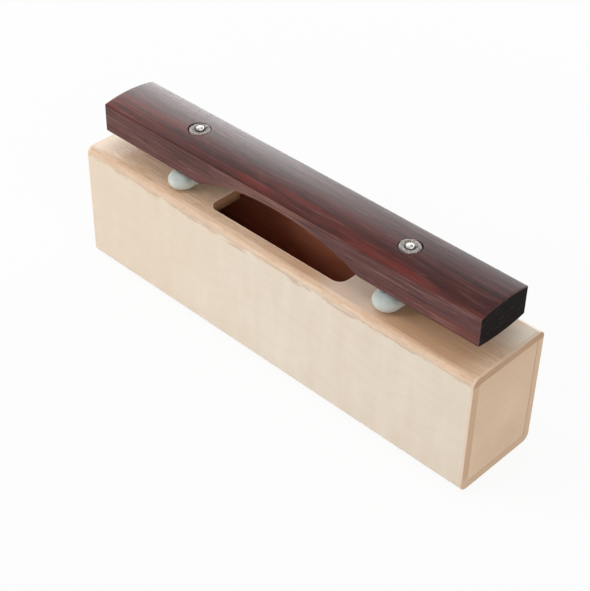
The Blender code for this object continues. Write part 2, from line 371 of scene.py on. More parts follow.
def coat(shader, colour, relief, depth, roughness=None):
    """Wires a colour to the shader, a fine relief of that depth, and a roughness where it varies."""
    tree = colour.tree
    bump = put(tree, "ShaderNodeBump", {"Height": relief, "Distance": depth, "Strength": 1.0})
    for name, wire in (("Base Color", colour), ("Normal", bump), ("Roughness", roughness)):
        if wire:
            wire.plug(shader.inputs[name])


print("Finish helpers are ready")

# %% [markdown]
# ## The wood of the box
# The box has a pinkish brown lid, and pale maple veneer on its long sides. The maple has faint lines and
# flecks, and is a little yellower to the left. The brown wood is streaked and mottled. The round edge in
# front is darker to the left. Light and shade are painted into the lid as well: painted shade of the bar
# on its right part, a painted patch of light right of the slot, where light passes under the arch, painted
# sheen at its ends, and a painted highlight along the eased rim of the slot, which the finish finds by its
# slope.

# %% Colours: maple veneer and the brown wood under it
HEART_OF_BOX, BOX_WANDER = (0.055, 0.018), 0.022
FLAT_TO, FLAT_FROM = 0.0280, 0.0250


def maple_colour(place):
    line = layer_lines(place, HEART_OF_BOX, BOX_WANDER, 0.0031, 0.55)
    fibres = noise(place, (0.040, 0.0006, 0.0006), 3.0, 0.6)
    flecks = between(noise(place, (0.0035, 0.00028, 0.00028), 1.0), 0.66, 0.78)
    left = between(axes(place)[0], 0.02, -0.13)
    pale = ramp(noise(place, (0.011, 0.030, 0.040)), (0.28, (225, 209, 190)), (0.72, (230, 218, 201)))
    return layered(pale, (line * 0.10, (205, 184, 156)), (fibres * 0.16, (212, 194, 168)),
                   (flecks * 0.16, (190, 163, 132)), (left * 0.35, (216, 193, 162))), fibres


def brown_colour(place):
    along, aside, _ = axes(place)
    flat = between(abs(aside), FLAT_TO, FLAT_FROM)
    streaks = noise(place, (0.024, 0.0011, 0.0011), 4.0, 0.62)
    flecks = between(noise(place, (0.0036, 0.0006, 0.0006), 1.0), 0.60, 0.74)
    mottle = between(noise(place, (0.008, 0.0030, 0.0030), 3.0, 0.6), 0.50, 0.68)
    brown = ramp(streaks, (0.28, (196, 158, 126)), (0.50, (215, 182, 152)), (0.72, (228, 200, 172)))
    rounded = (1.0 - flat) * (between(along, 0.03, -0.05) * 0.28 + 0.02)
    # painted shade: the bar's shadow on the flat lid, on its right part
    bar_shade_right = between(along, -0.03, 0.03) * between(along, 0.150, 0.128) * flat
    # painted sheen: pale patches on the flat lid at the right rear corner and at the left end
    corner = between(along, 0.122, 0.146) * between(aside, -0.004, 0.018)
    left = between(along, -0.134, -0.149) * (flat * 0.6)
    # painted highlight along the eased rim of the slot, found by the slope of its faces
    up = axes(put(place.tree, "ShaderNodeNewGeometry")["True Normal"])[2]
    rim = between(up, 0.995, 0.95) * between(up, 0.20, 0.50) * between(abs(along), 0.075, 0.065)
    # painted light: the flat lid right of the slot, where light passes under the arch
    light_under_arch = between(along, 0.030, 0.052) * between(along, 0.090, 0.070) * flat
    return layered(brown, (flecks * 0.52, (172, 132, 102)), (mottle * 0.30, (187, 149, 116)),
                   (rounded, (184, 150, 122)), (bar_shade_right * 0.74, (192, 147, 110)),
                   (most(corner, left) * 0.85, (250, 238, 219)), (rim * flat * 0.50, (238, 214, 198)),
                   (light_under_arch * 0.50, (236, 219, 204))), streaks


print("Colours of the box:", maple_colour.__name__, brown_colour.__name__)

# %% [markdown]
# The long edges are rounded after gluing, which sands through the thin veneer, so the brown wood comes out
# along each edge with a wavy border. The finish works that out by itself: the sander takes off the round
# and, more and more lightly, the top of the flat side below it, and where it took off more than the veneer's
# thickness, the brown wood shows. The thickness varies along the grain, which makes the waves.

# %% Finish: boards sanded through the veneer
SANDED, SANDED_DOWN = 0.15, 0.006
VENEER_THIN, VENEER_THICK = -0.00042, 0.00020


def rubbed(place, colour):
    """Makes the last two millimetres before the ends of the box warmer, where sanding thinned the veneer."""
    along = noise(place, (0.02, 0.004, 0.004)) * 0.0016 + abs(axes(place)[0])
    worn = between(along, BOX_LENGTH / 2 - 0.0016, BOX_LENGTH / 2 - 0.0002)
    return layered(colour, (worn * 0.65, (228, 199, 172)))


def veneered_board():
    made, shader, place = finish("veneered_board", Specular_IOR_Level=0.50)
    pale, fibres = maple_colour(place)
    brown, streaks = brown_colour(place)
    _, aside, height = axes(place)
    rise = most(height - (BOX_HEIGHT - EDGE_ROUND), -SANDED_DOWN)
    taken = rise * SANDED + (BOX_WIDTH / 2 - abs(aside))
    waves = noise(place, (0.013, 0.05, 0.0032), 3.0)
    below = taken - between(waves, 0.34, 0.66, VENEER_THIN, VENEER_THICK, "LINEAR")
    bare = between(below, 0.0006, 0.0025) * 0.25 + between(below, -0.00016, 0.00042) * 0.75
    border = between(below, -0.00012, 0.00006) * between(below, 0.00046, 0.00012)
    dashes = border * between(streaks, 0.44, 0.56)
    colour = layered(pale, (bare, brown), (dashes * 0.40, (170, 132, 102)))
    coat(shader, rubbed(place, colour), fibres + streaks, 0.00002, fibres * 0.14 + 0.28)
    return made


VENEERED = veneered_board()
print(VENEERED.name, "has", len(VENEERED.node_tree.nodes), "nodes")

# %% [markdown]
# Saw-cut ends drink more varnish, so they look browner: the lid's most of all, and those of the bottom and
# rear boards least. The end walls of the slot are darker still, partly raw wood and partly painted shade
# inside the slot. The inside of the box was never varnished.

# %% Finish: sawn ends and the raw inside
def board_end():
    """Sawn end of the boards: browner, with the layers' arcs and open pores."""
    made, shader, place = finish("board_end", Roughness=0.62, Specular_IOR_Level=0.25)
    along, aside, height = axes(place)
    arcs = layer_lines(place, HEART_OF_BOX, BOX_WANDER, 0.0013, 0.35)
    grit = noise(place, 0.0004, 3.0, 0.7)
    lid = between(height, BOX_HEIGHT - BOARD - 0.0006, BOX_HEIGHT - BOARD)
    pale = most(between(height, 0.012, 0.004), between(aside, 0.020, 0.027)) * (1.0 - lid)
    colour = ramp(grit, (0.30, (192, 158, 128)), (0.70, (208, 176, 146)))
    # the last coat darkens the slot's end walls: partly raw wood, partly painted shade inside the slot
    colour = layered(colour, (arcs * 0.20, (183, 145, 112)), (pale * 0.60, (216, 189, 160)),
                     (lid * 0.42, (150, 114, 85)), (between(abs(along), 0.12, 0.10) * 0.8, (160, 115, 80)))
    coat(shader, colour, grit, 0.00006)
    return made


def raw_inside():
    """The walls inside the box, never varnished."""
    made, shader, place = finish("raw_inside", Roughness=0.85, Specular_IOR_Level=0.15)
    streaks = noise(place, (0.040, 0.0012, 0.0012), 4.0, 0.6)
    coat(shader, ramp(streaks, (0.25, (188, 114, 83)), (0.75, (212, 140, 107))), streaks, 0.00008)
    return made


BOARD_END, RAW_INSIDE = board_end(), raw_inside()
print("Box finishes:", VENEERED.name, BOARD_END.name, RAW_INSIDE.name)

# %% [markdown]
# ## Boards from outlines
# A board is its cross-section, pushed along X. Real boards have no razor edges: a touch of sandpaper breaks
# them. So each board is skinned over a row of outlines that draw in a little towards both ends. Only the
# edges that a hand can reach are eased, and the glued joints stay tight.

# %% Helpers for skinned pieces
def arc(middle, radius, start, end, steps=8):
    turns = [math.radians(start + (end - start) * step / steps) for step in range(steps + 1)]
    return [(middle[0] + radius * math.cos(t), middle[1] + radius * math.sin(t)) for t in turns]


def quarter(radius, steps, sweep=90):
    """How far an eased edge lies inwards and back, at steps along its quarter circle."""
    turns = [math.radians(sweep * step / steps) for step in range(steps + 1)]
    return [(radius * (1 - math.cos(t)), radius * (1 - math.sin(t))) for t in turns]


def drawn_in(outline, amount, is_eased=lambda start, end: True):
    """An anticlockwise outline whose eased edges move inwards by that amount."""
    normals, moved = [], []
    for index, start in enumerate(outline):
        end = outline[(index + 1) % len(outline)]
        normal = Vector((end[1] - start[1], start[0] - end[0])).normalized()
        normals.append(normal if is_eased(start, end) else None)
    for index, spot in enumerate(outline):
        sides = [n for n in (normals[index - 1], normals[index]) if n]
        shift = Vector((0, 0))
        if len(sides) == 2:
            shift = (sides[0] + sides[1]) / (1 + sides[0].dot(sides[1]))
        elif sides:
            shift = sides[0]
        moved.append((spot[0] - shift.x * amount, spot[1] - shift.y * amount))
    return moved


def skin(name, rings, looped=False):
    """A mesh over rings that all have as many points. It is capped, or its last ring meets the first."""
    count = len(rings[0])
    points = [spot for ring in rings for spot in ring]
    faces = [] if looped else [tuple(range(count)), tuple(range(len(points) - count, len(points)))]
    for row in range(len(rings) if looped else len(rings) - 1):
        here, there = row * count, (row + 1) % len(rings) * count
        for index in range(count):
            after = (index + 1) % count
            faces.append((here + index, here + after, there + after, there + index))
    mesh = bpy.data.meshes.new(name)
    mesh.from_pydata(points, [], faces)
    outward(mesh)
    return mesh


def outward(mesh):
    """Joins points that coincide, and turns all faces outwards."""
    shape = bmesh.new()
    shape.from_mesh(mesh)
    bmesh.ops.remove_doubles(shape, verts=shape.verts, dist=1e-7)
    bmesh.ops.recalc_face_normals(shape, faces=shape.faces)
    shape.to_mesh(mesh)
    shape.free()


print("Skinning helpers are ready")

# %% [markdown]
# A mesh becomes a piece of the scene when an object carries it. Booleans cut holes, and a Weighted Normal
# modifier keeps the flat faces flat under smooth shading. Each modifier is turned into plain mesh right
# away, so that a piece is finished when it leaves its cell.

# %% Helpers for pieces
def piece(name, mesh, *finishes):
    made = bpy.data.objects.new(name, mesh)
    scene.collection.objects.link(made)
    mesh.materials.clear()
    for each in finishes:
        mesh.materials.append(each)
    return made


def settle(thing):
    """Turns what a piece's modifiers make into its own plain mesh."""
    graph = bpy.context.evaluated_depsgraph_get()
    made = bpy.data.meshes.new_from_object(thing.evaluated_get(graph))
    old, thing.data = thing.data, made
    thing.modifiers.clear()
    bpy.data.meshes.remove(old)
    made.name = thing.name


def polish(thing, angle=35):
    """Smooth shading, with flat faces kept flat and edges sharper than the angle kept crisp."""
    thing.data.shade_smooth()
    thing.data.set_sharp_from_angle(angle=math.radians(angle))
    weighted = thing.modifiers.new("flat_faces", "WEIGHTED_NORMAL")
    weighted.keep_sharp = True
    settle(thing)


def cut(thing, cutter_mesh):
    cutter = bpy.data.objects.new("cutter", cutter_mesh)
    scene.collection.objects.link(cutter)
    modifier = thing.modifiers.new("cut", "BOOLEAN")
    modifier.operation, modifier.solver, modifier.object = "DIFFERENCE", "EXACT", cutter
    settle(thing)
    bpy.data.objects.remove(cutter)


def sort_faces(mesh, choose):
    """Gives each face the number of its finish, by where it lies and looks."""
    for face in mesh.polygons:
        face.material_index = choose(face.center, face.normal)


print("Piece helpers are ready")

# %% [markdown]
# ## Four long boards
# The top and bottom boards carry the rounded edges, and the side boards stand between them, with a small
# fillet in the inner corners. In the CAD model a hair of room is left at every joint. Here the boards meet,
# as glued boards do.

# %% Make the long boards
EASE, GLUE_LINE = 0.00045, 0.00002


def long_board(name, outline, is_eased):
    """A board along X, skinned over its outline in Y and Z."""
    rings = []
    for side in (-1, 1):
        for inwards, back in quarter(EASE, 3)[::side]:
            across = drawn_in(outline, inwards, is_eased)
            rings.append([(side * (BOX_LENGTH / 2 - back), y, z) for y, z in across])
    return piece(name, skin(name, rings), VENEERED, BOARD_END, RAW_INSIDE)


def lid_outline(upper):
    """The joint's two ends first, then the rounded edges. The bottom board is the lid, turned over."""
    half, radius, middle = BOX_WIDTH / 2, EDGE_ROUND, BOX_HEIGHT - EDGE_ROUND
    points = [(-half, BOX_HEIGHT - BOARD), (half, BOX_HEIGHT - BOARD)]
    points += arc((half - radius, middle), radius, 0, 90, 12)
    points += arc((radius - half, middle), radius, 90, 180, 12)
    return points if upper else [(-y, BOX_HEIGHT - z) for y, z in points]


def wall_outline(front):
    outer = BOX_WIDTH / 2
    low, high = BOARD + GLUE_LINE, BOX_HEIGHT - BOARD - GLUE_LINE
    middle = outer - BOARD - INNER_FILLET
    points = [(outer, low), (outer, high)]
    points += arc((middle, high - INNER_FILLET), INNER_FILLET, 90, 0)
    points += arc((middle, low + INNER_FILLET), INNER_FILLET, 0, -90)
    return [(-y, z) for y, z in points][::-1] if front else points


def board_faces(centre, normal):
    if abs(normal.x) > 0.8:
        return 1
    inside = abs(centre.y) < BOX_WIDTH / 2 - BOARD / 2 and BOARD / 2 < centre.z < BOX_HEIGHT - BOARD / 2
    return 2 if inside and abs(normal.x) < 0.3 else 0


boards = {}
for name, upper in (("top_board", True), ("bottom_board", False)):
    outline = lid_outline(upper)
    joint = outline[0][1]
    boards[name] = long_board(name, outline, lambda a, b: not a[1] == b[1] == joint)
for name, front in (("front_board", True), ("rear_board", False)):
    boards[name] = long_board(name, wall_outline(front), lambda a, b: abs(a[0]) == abs(b[0]) == BOX_WIDTH / 2)
print("Boards:", {name: [round(v * 1000, 1) for v in made.dimensions] for name, made in boards.items()})

# %% [markdown]
# ## The sound slot
# The slot is cut through the finished lid with a router, so its corners are round, and its upper edge is
# eased by hand. The cutter here has that edge built in: it is a stack of rounded rectangles that flares at
# the top. A Boolean takes it away from the lid, and two thin bores for the pins as well.

# %% Cut the slot and the pin bores
SLOT_LENGTH, SLOT_WIDTH, SLOT_CORNER = 0.1033, 0.038, 0.006
SLOT_EASE, SLOT_SHIFT = 0.0007, -0.00205
BORE, CUT_PAST = 0.0036, 0.001


def rounded_rectangle(length, width, radius, steps=8):
    along, across = length / 2 - radius, width / 2 - radius
    points = []
    for turn, (x, y) in enumerate(((along, across), (-along, across), (-along, -across), (along, -across))):
        points += arc((x, y), radius, 90 * turn, 90 * (turn + 1), steps)
    return points


def slot_cutter():
    levels = [(0.0, BOX_HEIGHT - BOARD - CUT_PAST)]
    levels += [(inwards, BOX_HEIGHT - back) for inwards, back in quarter(SLOT_EASE, 5, 82)]
    levels.append((SLOT_EASE * 1.02, BOX_HEIGHT + CUT_PAST))
    rings = []
    for flare, height in levels:
        ring = rounded_rectangle(SLOT_LENGTH + 2 * flare, SLOT_WIDTH + 2 * flare, SLOT_CORNER + flare)
        rings.append([(x, y, height) for x, y in ring])
    return skin("slot_cutter", rings)


def bore_cutter(along, low, high, diameter=BORE):
    ring = arc((along, 0), diameter / 2, 0, 360, 32)[:-1]
    return skin("bore_cutter", [[(x, y, height) for x, y in ring] for height in (low, high)])


router = slot_cutter()
router.transform(Matrix.Translation((SLOT_SHIFT, 0, 0)))
cut(boards["top_board"], router)
for side in SIDES.values():
    bore = bore_cutter(side * STILL_POINT, BOX_HEIGHT - BOARD - CUT_PAST, BOX_HEIGHT + CUT_PAST)
    cut(boards["top_board"], bore)
for made in boards.values():
    polish(made)
    sort_faces(made.data, board_faces)
print("The lid now has", len(boards["top_board"].data.polygons), "faces")

# %% [markdown]
# ## The end panels
# A panel closes each end, set flush inside the ring of boards. Its wood is warmer than the veneer, and a
# thin dark line shows round it, because its edges are broken with sandpaper and the joint is not quite
# closed. Its upper part is painted darker, as painted shade: less light bounces up to it from the floor.

# %% Finish and make the end panels
PANEL, PANEL_ROOM, PANEL_EASE = 0.005, 0.00004, 0.0003


def panel_wood():
    made, shader, place = finish("panel_wood", Roughness=0.5, Specular_IOR_Level=0.3)
    crossed = put(place.tree, "ShaderNodeMapping", {"Vector": place, "Rotation": (0, 0, math.pi / 2)})
    line = layer_lines(crossed, (0.22, 0.03), 0.035, 0.0030, 0.55)
    fibres = noise(crossed, (0.026, 0.0006, 0.0006), 3.0, 0.6)
    colour = ramp(noise(crossed, (0.03, 0.02, 0.02)), (0.3, (212, 184, 153)), (0.7, (221, 195, 165)))
    # painted shade: darker towards the top of the panel, where less light bounces up from the floor
    colour = layered(colour, (between(axes(place)[2], 0.02, 0.07) * 0.5, (203, 173, 142)),
                     (line * 0.10, (190, 155, 124)), (fibres * 0.18, (194, 163, 134)))
    coat(shader, colour, fibres, 0.00003)
    return made


def end_panel(name, side):
    clear = 2 * (BOARD + PANEL_ROOM)
    outline = rounded_rectangle(BOX_WIDTH - clear, BOX_HEIGHT - clear, INNER_FILLET - PANEL_ROOM)
    levels = [(0.0, PANEL)] + quarter(PANEL_EASE, 4)
    rings = []
    for inwards, back in levels:
        flat = drawn_in(outline, inwards)
        rings.append([(side * (BOX_LENGTH / 2 - back), y, z + BOX_HEIGHT / 2) for y, z in flat])
    return piece(name, skin(name, rings), PANEL_WOOD, RAW_INSIDE)


PANEL_WOOD = panel_wood()
panels = {}
for name, side in SIDES.items():
    made = panels[name] = end_panel(name + "_panel", side)
    polish(made)
    sort_faces(made.data, lambda centre, normal: 1 if normal.x * side < -0.8 else 0)
print("Panels:", [made.name for made in panels.values()])

# %% [markdown]
# ## Rosewood
# Rosewood is dense and oily: thin layers of purple brown, nearly black and red, with fine open pores along
# the grain. This bar is cut so that its layers lie nearly flat, and rise a little towards the back. The
# colours come from a noise over the layer's number, so that layers differ in width as they do in a tree. The
# outermost layers of this bar, along its upper front edge, are darker with red flames: the red is the wood,
# and the darkening is partly the wood and partly painted shade of that edge, less at the left end. The back
# of the oiled top is painted greyer, partly the wood and partly painted sheen. The top is oiled and the sides
# are only planed, so the colour breaks along the upper edge. On the side, a paler patch near the middle of
# the arch is painted light, and the lower edge is warmer, with painted light on it towards the right end.

# %% Finish: oiled and planed rosewood
HEART_OF_BAR, BAR_WANDER, LAYER = (0.017, BAR_LOW - 0.0668), 0.0030, 0.0011
# The back of the oiled top is painted greyer between these layers: partly the wood, partly painted sheen.
GREY_SHEEN_FROM, GREY_SHEEN_TO = 0.0915 / LAYER, 0.0860 / LAYER
RED_FROM, RED_TO = 0.0895 / LAYER, 0.0928 / LAYER


def rosewood(name, planed):
    """The long faces. Planed ones are paler and duller than the oiled top, with less of its red."""
    made, shader, place = finish(name, Specular_IOR_Level=0.22 if planed else 0.32)
    along, _, height = axes(place)
    layers = growth(place, HEART_OF_BAR, BAR_WANDER, LAYER)
    drift = point(place.tree, along * 9.0, layers)
    inputs = {"Vector": drift, "Scale": 1.0, "Detail": 4.0, "Roughness": 0.62}
    bands = put(place.tree, "ShaderNodeTexNoise", inputs, noise_dimensions="2D")["Fac"]
    fibres = noise(place, (0.022, 0.00035, 0.00035), 3.0, 0.65)
    flames = noise(place, (0.070, 0.0056, 0.0056), 4.0, 0.55)
    streaks = noise(place, (0.030, 0.0013, 0.0013), 4.0, 0.6)
    violet = between(noise(place, (0.060, 0.0022, 0.0022), 3.0, 0.6), 0.46, 0.62)
    pores = between(noise(place, (0.0045, 0.00022, 0.00022), 1.0), 0.64, 0.74)
    outer, left = between(layers, RED_FROM, RED_TO), between(along, -0.04, -0.12)
    colour = ramp(bands, (0.28, (36, 19, 19)), (0.44, (64, 33, 31)),
                  (0.60, (86, 45, 40)), (0.80, (50, 27, 26)))
    if planed:
        low = between(height, BAR_LOW + 0.014, BAR_LOW + 0.003)
        # the side's lower edge is warmer; the extra warmth towards the right end is painted light
        warm_and_lit = low * (between(along, 0.085, 0.135) * 0.40 + 0.14)
        # painted light: a paler patch on the side near the middle of the arch
        side_arch_light = between(along, -0.055, -0.030) * between(along, 0.032, 0.012)
        colour = layered(colour, (0.40, (112, 72, 66)), (warm_and_lit, (120, 62, 52)),
                         (side_arch_light * 0.50, (142, 98, 84)))
        deep, rich, bold, pale, strong = 0.10, left * 0.1 + 0.1, 0.30, 0.26, 0.56
    else:
        # partly painted sheen: the back of the top is greyer
        colour = layered(colour, (between(layers, GREY_SHEEN_FROM, GREY_SHEEN_TO) * 0.55, (64, 53, 56)))
        # deep darkens the outer layers along the top's front edge: partly the wood, partly painted shade
        deep, rich, strong = left * -0.26 + 0.84, left * 0.06 + 0.55, 0.24
        bold, pale = outer * 0.45, outer * -0.12 + 0.26
    worn = between(fibres * 0.0006 + abs(along), BAR_LENGTH / 2 - 0.0008, BAR_LENGTH / 2 - 0.0001)
    colour = layered(colour, (violet * (0.50 if planed else 0.10), (92, 66, 70)),
                     (outer * deep, (73, 25, 19)),
                     (outer * between(flames, 0.45, 0.62) * rich, (120, 38, 31)),
                     (between(flames, 0.50, 0.37) * bold, (46, 22, 22)),
                     (between(fibres, 0.55, 0.80) * pale, (124, 86, 81)),
                     (between(streaks, 0.53, 0.68) * strong, (140, 104, 98)),
                     (between(streaks, 0.46, 0.32) * strong, (40, 22, 22)), (pores * 0.40, (30, 17, 17)),
                     (worn * (0.12 if planed else 0.04), (148, 122, 116)))
    roughness = pores * 0.25 + (fibres * 0.16 + (0.38 if planed else 0.22))
    coat(shader, colour, fibres - pores, 0.000018, roughness)
    return made


OILED, PLANED = rosewood("oiled_rosewood", False), rosewood("planed_rosewood", True)
print("Finishes of the long faces:", OILED.name, PLANED.name)

# %% [markdown]
# The ends of the bar show the same layers, but there the open grain soaks up the oil and turns almost black.
# Only a few hairlines of paler wood stay.

# %% Finish: end grain of the rosewood
def rosewood_end():
    made, shader, place = finish("rosewood_end", Roughness=0.7, Specular_IOR_Level=0.05)
    layers = growth(place, HEART_OF_BAR, BAR_WANDER, LAYER)
    stripes = put(place.tree, "ShaderNodeTexNoise", {"W": layers, "Scale": 1.0, "Detail": 2.0},
                  noise_dimensions="1D")["Fac"]
    pores = between(noise(place, (0.003, 0.00025, 0.00025), 1.0), 0.60, 0.70)
    broken = between(noise(place, (0.004, 0.005, 0.002)), 0.50, 0.62)
    colour = ramp(stripes, (0.35, (17, 12, 12)), (0.65, (30, 24, 24)))
    hairs = between(stripes, 0.60, 0.72) * broken
    colour = layered(colour, (hairs * 0.55, (78, 62, 60)), (pores * 0.6, (18, 13, 13)))
    coat(shader, colour, pores, -0.00005)
    return made


ROSEWOOD_END = rosewood_end()
print("Finish of the ends:", ROSEWOOD_END.name)

# %% [markdown]
# ## The tone bar, by a rule
# The bar's shape follows a rule: one crowned section is pushed along X, and an arch below thins the middle,
# which is how a bar is tuned. Geometry Nodes suit that well. The section is drawn once as a ring of points,
# with soft corners. The tree sweeps it along a line, and then lifts the underside: a point's new height is
# the higher of the crown and the arch, and points further up the side follow by their share, so the lower
# corner stays soft.

# %% Draw the bar's section
ARRIS, SIDE_FLAT = 0.0010, 0.86


def crowned_edge(crown, level, side):
    """Half of a crowned face, from the middle of the side to the middle of the face, with a soft corner."""
    half = BAR_WIDTH / 2
    slope = 2 * crown / half
    lean = math.atan(slope)
    middle = level + slope * ARRIS - ARRIS / math.cos(lean)
    corner = arc((half - ARRIS, middle), ARRIS, 0, 90 - math.degrees(lean), 6)
    steps = [corner[-1][0] * (1 - step / 14) for step in range(1, 15)]
    face = [(y, level + crown * (1 - (y / half) ** 2)) for y in steps]
    return [(y, side * z) for y, z in corner + face]


def bar_section():
    """The section in Y and Z about the middle of the side faces, as one closed ring."""
    upper = crowned_edge(CROWN_ABOVE, BAR_SIDE / 2, 1)
    lower = crowned_edge(CROWN_BELOW, BAR_SIDE / 2, -1)
    sides = [(BAR_WIDTH / 2, BAR_SIDE * (step / 8 - 0.5) * SIDE_FLAT) for step in range(9)]
    right = lower[::-1] + sides + upper
    left = [(-y, z) for y, z in right[::-1][1:-1]]
    return right + left


section = bar_section()
ring = bpy.data.meshes.new("bar_section")
edges = [(i, (i + 1) % len(section)) for i in range(len(section))]
ring.from_pydata([(-y, -z, 0) for y, z in section], edges, [])
print("The section has", len(section), "points")

# %% [markdown]
# A tree of Geometry Nodes starts with named inputs, which a modifier then fills by each socket's identifier.
# The same helpers serve the bar here and the felt later on.

# %% Helpers for Geometry Nodes
def new_tree(name, inputs):
    """A tree with a geometry input, the named inputs of the kinds given, and a geometry output."""
    tree = bpy.data.node_groups.new(name, "GeometryNodeTree")
    tree.interface.new_socket("Geometry", in_out="INPUT", socket_type="NodeSocketGeometry")
    for label, kind in inputs.items():
        tree.interface.new_socket(label, in_out="INPUT", socket_type="NodeSocket" + kind)
    tree.interface.new_socket("Geometry", in_out="OUTPUT", socket_type="NodeSocketGeometry")
    return tree, put(tree, "NodeGroupInput")


def moved(geometry, offset):
    return put(geometry.tree, "GeometryNodeSetPosition", {"Geometry": geometry, "Offset": offset})


def swept(path, outline):
    inputs = {"Curve": path, "Profile Curve": outline, "Fill Caps": True}
    return put(path.tree, "GeometryNodeCurveToMesh", inputs)


def realized(geometry):
    return put(geometry.tree, "GeometryNodeRealizeInstances", {"Geometry": geometry})


def end_tree(geometry, material):
    done = put(geometry.tree, "GeometryNodeSetMaterial", {"Geometry": geometry, "Material": material})
    put(geometry.tree, "NodeGroupOutput", {0: done})
    return geometry.tree


def grow(thing, tree, values):
    """Lets a tree work on a piece, with these values in its inputs."""
    modifier = thing.modifiers.new(tree.name, "NODES")
    modifier.node_group = tree
    for item in tree.interface.items_tree:
        if item.in_out == "INPUT" and item.name in values:
            modifier[item.identifier] = values[item.name]


print("Geometry Nodes helpers are ready")

# %% [markdown]
# In the tree below, low is the height of the crown's underside across the bar, and arch is a curve along it
# that is a little fuller than a parabola. Smooth Maximum takes the higher of the two and rounds the line
# where they meet, as a belt sander does.

# %% Sweep the section and press the arch in
ARCH_LENGTH, ARCH_DEPTH, ARCH_FULLNESS, ARCH_BLEND = 0.122, 0.0125, 2.25, 0.0006
STATIONS = 287


def bar_tree():
    tree, given = new_tree("bar_body", {
        "Length": "Float", "Width": "Float", "Underside": "Float", "Crown": "Float", "Side": "Float",
        "Arch Length": "Float", "Arch Depth": "Float", "Arch Fullness": "Float", "Stations": "Int",
        "Finish": "Material"})
    half = given["Length"] / 2.0
    ends = {"Start": point(tree, half * -1.0), "End": point(tree, half)}
    line = put(tree, "GeometryNodeCurvePrimitiveLine", ends)
    line = put(tree, "GeometryNodeResampleCurve", {"Curve": line, "Count": given["Stations"]})
    outline = put(tree, "GeometryNodeMeshToCurve", {"Mesh": given["Geometry"]})
    foot = given["Underside"] + given["Crown"]
    shoulder = foot + given["Side"]
    body = moved(swept(line, outline), point(tree, z=given["Side"] * -0.5 + shoulder))
    along, aside, height = axes(put(tree, "GeometryNodeInputPosition"))
    across = aside / (given["Width"] / 2.0)
    low = across * across * given["Crown"] + given["Underside"]
    along = abs(along / (given["Arch Length"] / 2.0))
    arch = (1.0 - along.maths("POWER", along, given["Arch Fullness"])) * given["Arch Depth"] + foot
    lift = low.maths("SMOOTH_MAX", low, arch, ARCH_BLEND) - low
    share = put(tree, "ShaderNodeClamp", {"Value": (shoulder - height) / (shoulder - low)})
    return end_tree(realized(moved(body, point(tree, z=lift * share))), given["Finish"])


bar = piece("rosewood_bar", ring)
grow(bar, bar_tree(), {
    "Length": BAR_LENGTH, "Width": BAR_WIDTH, "Underside": BAR_LOW, "Crown": CROWN_BELOW, "Side": BAR_SIDE,
    "Arch Length": ARCH_LENGTH, "Arch Depth": ARCH_DEPTH, "Arch Fullness": ARCH_FULLNESS,
    "Stations": STATIONS, "Finish": OILED})
settle(bar)
outward(bar.data)
print("Bar:", [round(v * 1000, 2) for v in bar.dimensions], "mm,", len(bar.data.polygons), "faces")

# %% [markdown]
# ## Soft edges at the ends
# The sawn ends are sanded round, most of all at the sides and below. A Bevel would be held back by the small
# corner of the section, so the last four rows of points are drawn in along a quarter circle.

# %% Ease the ends
END_ROUND, END_ROWS, TOP_CRISPER = 0.0009, 3, 0.55


def round_ends(mesh):
    """Draws the last rows of points in, half as far along the top edge as elsewhere."""
    half, spacing = BAR_LENGTH / 2, BAR_LENGTH / (STATIONS - 1)
    level = BAR_HIGH - CROWN_ABOVE - BAR_SIDE / 2
    drawn = drawn_in(section, END_ROUND)
    for vertex in mesh.vertices:
        x, y, z = vertex.co
        row = round((half - abs(x)) / spacing)
        if row > END_ROWS:
            continue
        turn = math.pi / 2 * (1 - row / END_ROWS)
        near = min(range(len(section)), key=lambda i: math.dist(section[i], (y, z - level)))
        old, new = Vector(section[near]), Vector(drawn[near])
        crisp = min(max((old.y - BAR_SIDE / 2) / ARRIS + 1, 0), 1)
        move = (new - old) * (1 - math.cos(turn)) * (1 - TOP_CRISPER * crisp)
        vertex.co = (math.copysign(half - END_ROUND * (1 - math.sin(turn)), x), y + move.x, z + move.y)


round_ends(bar.data)
print("The ends are round by", END_ROUND * 1000, "mm")

# %% [markdown]
# ## Holes for the pins
# A loose hole lets the bar hang free round each pin, and a wider recess above takes a felt washer. The
# recess has a softened rim, and since the bar's top is crowned, the cutter's flare follows the crown. Then
# each face gets its finish, by where it looks. A loose bar never sits quite square, so at the end the whole
# bar is turned on its pins by a third of a degree.

# %% Cut the recesses and the holes
RECESS, RECESS_FLOOR, BAR_HOLE, RIM = 0.0138, 0.1068, 0.0070, 0.0002
SKEW = math.radians(0.3)


def recess_cutter(along):
    levels = [(0.0, None)] + [(RIM * (1 - math.cos(t)), -RIM * (1 - math.sin(t))) for t in (0, 0.5, 1.0, 1.4)]
    levels.append((RIM, CUT_PAST))
    rings = []
    for flare, below in levels:
        ring = []
        for x, y in arc((along, 0), RECESS / 2 + flare, 0, 360, 64)[:-1]:
            crown = BAR_HIGH - CROWN_ABOVE * (2 * y / BAR_WIDTH) ** 2
            ring.append((x, y, RECESS_FLOOR if below is None else crown + below))
        rings.append(ring)
    return skin("recess_cutter", rings)


def bar_faces(centre, normal):
    if abs(normal.x) > 0.9 and abs(centre.x) > BAR_LENGTH / 2 - 2 * END_ROUND:
        return 1
    return 2 if abs(normal.y) > 0.75 and abs(centre.y) > BAR_WIDTH / 2 - ARRIS else 0


